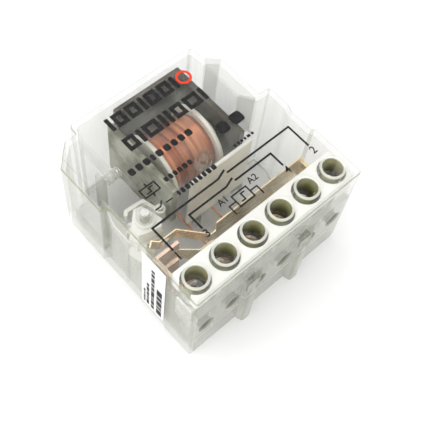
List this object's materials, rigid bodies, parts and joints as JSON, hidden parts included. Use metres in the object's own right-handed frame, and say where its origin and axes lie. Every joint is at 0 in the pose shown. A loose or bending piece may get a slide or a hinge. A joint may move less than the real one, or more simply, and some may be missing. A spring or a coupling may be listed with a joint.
{
  "type": "flush-box step relay",
  "caption": "Clear-cased step relay with a row of screw terminals, a coil with a hinged armature and a ratchet wheel that works contact blades.",
  "frame": {"origin": "middle of the bounding box's underside, on the plane the base rests on", "axes": "+Z out through the terminal face with the screw wells, -Y towards the wire entries and latch humps, +X along the row of terminals from terminal 1 to terminal 2"},
  "size_m": [0.0436, 0.0452, 0.0266],
  "materials": {
    "clear_plastic": "clear moulded polycarbonate, polished",
    "white_plastic": "moulded, satin",
    "milky_plastic": "translucent nylon, satin",
    "ivory_plastic": "moulded nylon, satin",
    "steel": "zinc plated, bright",
    "iron": "soft iron, dark",
    "armature_steel": "yellow passivated steel",
    "brass": "bright",
    "copper": "copper strip, bright",
    "bronze": "spring bronze, satin",
    "silver": "silver contact, bright",
    "coil_wire": "enamelled copper wire",
    "label_paper": "matt paper label"
  },
  "bodies": {
    "housing": {"base_tray": "clear_plastic", "clamp_cage_1": "steel", "clamp_cage_2": "steel", "clamp_cage_3": "steel", "clamp_cage_4": "steel", "clamp_cage_a1": "steel", "clamp_cage_a2": "steel", "clear_cover": "clear_plastic", "coil_bobbin": "ivory_plastic", "coil_lead_a1": "coil_wire", "coil_lead_a2": "coil_wire", "coil_winding": "coil_wire", "detent_spring": "steel", "fixed_contact_lower": "silver", "fixed_contact_upper": "silver", "insulating_barrier": "milky_plastic", "magnet_core": "iron", "magnet_yoke": "iron", "return_spring": "steel", "side_label": "label_paper", "terminal_insulator": "white_plastic", "terminal_strap_1": "copper", "terminal_strap_2": "brass", "terminal_strap_3": "copper", "terminal_strap_4": "brass", "wheel_axle": "steel"},
    "armature": {"armature": "armature_steel", "pawl_pin": "steel"},
    "pawl": {"drive_pawl": "milky_plastic"},
    "wheel": {"ratchet_wheel": "milky_plastic"},
    "upper_blade": {"contact_blade_upper": "bronze", "moving_contact_upper": "silver"},
    "lower_blade": {"contact_blade_lower": "bronze", "moving_contact_lower": "silver"},
    "clamp_1": {"pressure_plate_1": "steel"},
    "screw_1": {"terminal_screw_1": "steel"},
    "clamp_3": {"pressure_plate_3": "steel"},
    "screw_3": {"terminal_screw_3": "steel"},
    "clamp_a1": {"pressure_plate_a1": "steel"},
    "screw_a1": {"terminal_screw_a1": "steel"},
    "clamp_a2": {"pressure_plate_a2": "steel"},
    "screw_a2": {"terminal_screw_a2": "steel"},
    "clamp_4": {"pressure_plate_4": "steel"},
    "screw_4": {"terminal_screw_4": "steel"},
    "clamp_2": {"pressure_plate_2": "steel"},
    "screw_2": {"terminal_screw_2": "steel"}
  },
  "joints": [
    {"name": "clamp_1_slide", "type": "slide", "parent": "housing", "child": "clamp_1", "axis": [0, 0, 1], "range_m": [-0.0004, 0.0018]},
    {"name": "screw_1_turn", "type": "hinge", "parent": "clamp_1", "child": "screw_1", "pos_m": [-0.01715, -0.01665, 0.0174], "axis": [0, 0, 1], "range_deg": [-325, 1445]},
    {"name": "clamp_3_slide", "type": "slide", "parent": "housing", "child": "clamp_3", "axis": [0, 0, 1], "range_m": [-0.0004, 0.0018]},
    {"name": "screw_3_turn", "type": "hinge", "parent": "clamp_3", "child": "screw_3", "pos_m": [-0.01015, -0.01665, 0.0174], "axis": [0, 0, 1], "range_deg": [-325, 1445]},
    {"name": "clamp_a1_slide", "type": "slide", "parent": "housing", "child": "clamp_a1", "axis": [0, 0, 1], "range_m": [-0.0004, 0.0018]},
    {"name": "screw_a1_turn", "type": "hinge", "parent": "clamp_a1", "child": "screw_a1", "pos_m": [-0.00315, -0.01665, 0.0174], "axis": [0, 0, 1], "range_deg": [-325, 1445]},
    {"name": "clamp_a2_slide", "type": "slide", "parent": "housing", "child": "clamp_a2", "axis": [0, 0, 1], "range_m": [-0.0004, 0.0018]},
    {"name": "screw_a2_turn", "type": "hinge", "parent": "clamp_a2", "child": "screw_a2", "pos_m": [0.00385, -0.01665, 0.0174], "axis": [0, 0, 1], "range_deg": [-325, 1445]},
    {"name": "clamp_4_slide", "type": "slide", "parent": "housing", "child": "clamp_4", "axis": [0, 0, 1], "range_m": [-0.0004, 0.0018]},
    {"name": "screw_4_turn", "type": "hinge", "parent": "clamp_4", "child": "screw_4", "pos_m": [0.01085, -0.01665, 0.0174], "axis": [0, 0, 1], "range_deg": [-325, 1445]},
    {"name": "clamp_2_slide", "type": "slide", "parent": "housing", "child": "clamp_2", "axis": [0, 0, 1], "range_m": [-0.0004, 0.0018]},
    {"name": "screw_2_turn", "type": "hinge", "parent": "clamp_2", "child": "screw_2", "pos_m": [0.01785, -0.01665, 0.0174], "axis": [0, 0, 1], "range_deg": [-325, 1445]},
    {"name": "armature_hinge", "type": "hinge", "parent": "housing", "child": "armature", "pos_m": [-0.00585, 0.01995, 0.0163], "axis": [0, 0, 1], "range_deg": [0, 5.2], "stiffness_Nm_per_rad": 0.02, "springref_deg": -5.73},
    {"name": "pawl_hinge", "type": "hinge", "parent": "armature", "child": "pawl", "pos_m": [-0.00975, 0.00145, 0.0139], "axis": [0, 0, 1], "range_deg": [-5, 0], "stiffness_Nm_per_rad": 0.001, "springref_deg": 5.73},
    {"name": "wheel_turn", "type": "hinge", "parent": "housing", "child": "wheel", "pos_m": [-0.01515, -0.00035, 0.0154], "axis": [0, 0, 1], "continuous": true},
    {"name": "upper_blade_flex", "type": "hinge", "parent": "housing", "child": "upper_blade", "pos_m": [0.01665, -0.01035, 0.0193], "axis": [0, 0, 1], "range_deg": [0, 1.2], "stiffness_Nm_per_rad": 0.05, "springref_deg": -2.86},
    {"name": "lower_blade_flex", "type": "hinge", "parent": "housing", "child": "lower_blade", "pos_m": [0.00985, -0.00875, 0.01], "axis": [0, 0, 1], "range_deg": [0, 1.4], "stiffness_Nm_per_rad": 0.05, "springref_deg": -2.86}
  ],
  "couplings": [
    {"joint": "screw_1_turn", "follows": "clamp_1_slide", "rad_per_m": 13963},
    {"joint": "screw_3_turn", "follows": "clamp_3_slide", "rad_per_m": 13963},
    {"joint": "screw_a1_turn", "follows": "clamp_a1_slide", "rad_per_m": 13963},
    {"joint": "screw_a2_turn", "follows": "clamp_a2_slide", "rad_per_m": 13963},
    {"joint": "screw_4_turn", "follows": "clamp_4_slide", "rad_per_m": 13963},
    {"joint": "screw_2_turn", "follows": "clamp_2_slide", "rad_per_m": 13963}
  ]
}
